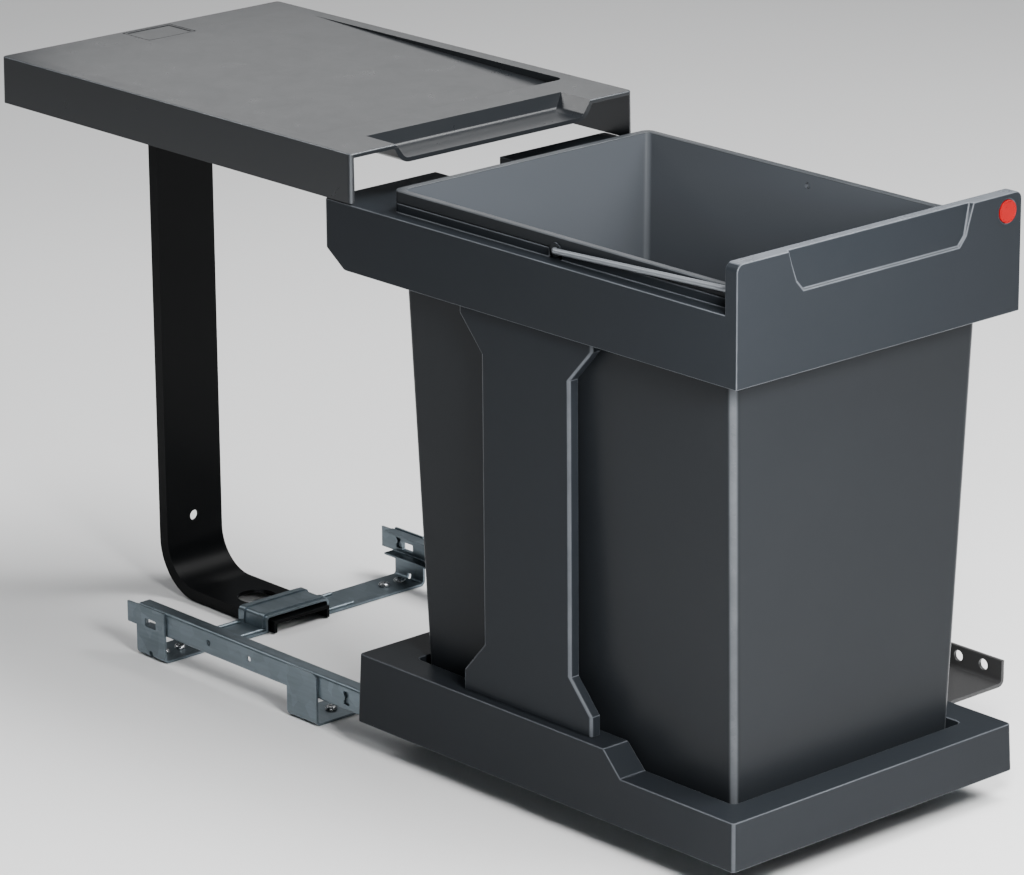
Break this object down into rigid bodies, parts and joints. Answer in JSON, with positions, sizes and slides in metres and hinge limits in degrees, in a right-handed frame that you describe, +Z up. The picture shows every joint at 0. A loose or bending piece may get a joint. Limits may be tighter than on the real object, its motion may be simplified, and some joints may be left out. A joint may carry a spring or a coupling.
{
  "type": "pull-out waste bin",
  "caption": "Pull-out cabinet waste bin: lift-out bucket with bail handle in a sliding carriage on runners, lid held over it by a steel arm, bracket for the cabinet door.",
  "frame": {"origin": "on the cabinet floor, at the middle of the front cross member's underside", "axes": "+Z up, -Y towards the user and the cabinet door, +X to the user's right; the carriage is pulled out along -Y"},
  "size_m": [0.3198, 0.7496, 0.419],
  "materials": {
    "anthracite_plastic": "fine-grained matte",
    "lid_plastic": "satin",
    "galvanised_steel": "galvanised",
    "black_steel": "semi-gloss powder coat",
    "zinc_screws": "zinc-plated",
    "handle_wire": "grey coating",
    "red_badge": "gloss"
  },
  "bodies": {
    "base": {"front_cross_member": "galvanised_steel", "rear_cross_member": "galvanised_steel", "left_outer_rail": "galvanised_steel", "right_outer_rail": "galvanised_steel", "floor_screw_1": "zinc_screws", "floor_screw_2": "zinc_screws", "floor_screw_3": "zinc_screws", "floor_screw_4": "zinc_screws", "floor_screw_5": "zinc_screws", "floor_screw_6": "zinc_screws", "lid_arm": "black_steel", "lid": "lid_plastic", "lid_latch": "lid_plastic"},
    "left_middle": {"left_middle_rail": "galvanised_steel"},
    "right_middle": {"right_middle_rail": "galvanised_steel"},
    "carriage": {"tray": "anthracite_plastic", "left_upright": "anthracite_plastic", "right_upright": "anthracite_plastic", "top_frame": "anthracite_plastic", "badge": "red_badge", "left_inner_rail": "galvanised_steel", "right_inner_rail": "galvanised_steel", "left_rail_screw_1": "zinc_screws", "right_rail_screw_1": "zinc_screws", "left_rail_screw_2": "zinc_screws", "right_rail_screw_2": "zinc_screws", "left_foot_screw_1": "zinc_screws", "right_foot_screw_1": "zinc_screws", "left_foot_screw_2": "zinc_screws", "right_foot_screw_2": "zinc_screws", "door_pin": "zinc_screws"},
    "bucket": {"bin": "anthracite_plastic"},
    "bail": {"bail_handle": "handle_wire"},
    "door_link": {"door_bracket": "black_steel"}
  },
  "joints": [
    {"name": "carriage_slide", "type": "slide", "parent": "base", "child": "carriage", "axis": [0, 1, 0], "range_m": [0, 0.349]},
    {"name": "left_middle_slide", "type": "slide", "parent": "base", "child": "left_middle", "axis": [0, 1, 0], "range_m": [0, 0.1745]},
    {"name": "right_middle_slide", "type": "slide", "parent": "base", "child": "right_middle", "axis": [0, 1, 0], "range_m": [0, 0.1745]},
    {"name": "bin_lift", "type": "slide", "parent": "carriage", "child": "bucket", "axis": [0, 0, 1], "range_m": [0, 0.41]},
    {"name": "bail_swing", "type": "hinge", "parent": "bucket", "child": "bail", "pos_m": [0, -0.2551, 0.39], "axis": [-1, 0, 0], "range_deg": [0, 175]},
    {"name": "door_bracket_swivel", "type": "hinge", "parent": "carriage", "child": "door_link", "pos_m": [0.1175, -0.3312, 0.0478], "axis": [0, 0, 1], "range_deg": [-12, 12]}
  ],
  "couplings": [
    {"joint": "left_middle_slide", "follows": "carriage_slide", "ratio": 0.5},
    {"joint": "right_middle_slide", "follows": "carriage_slide", "ratio": 0.5}
  ]
}
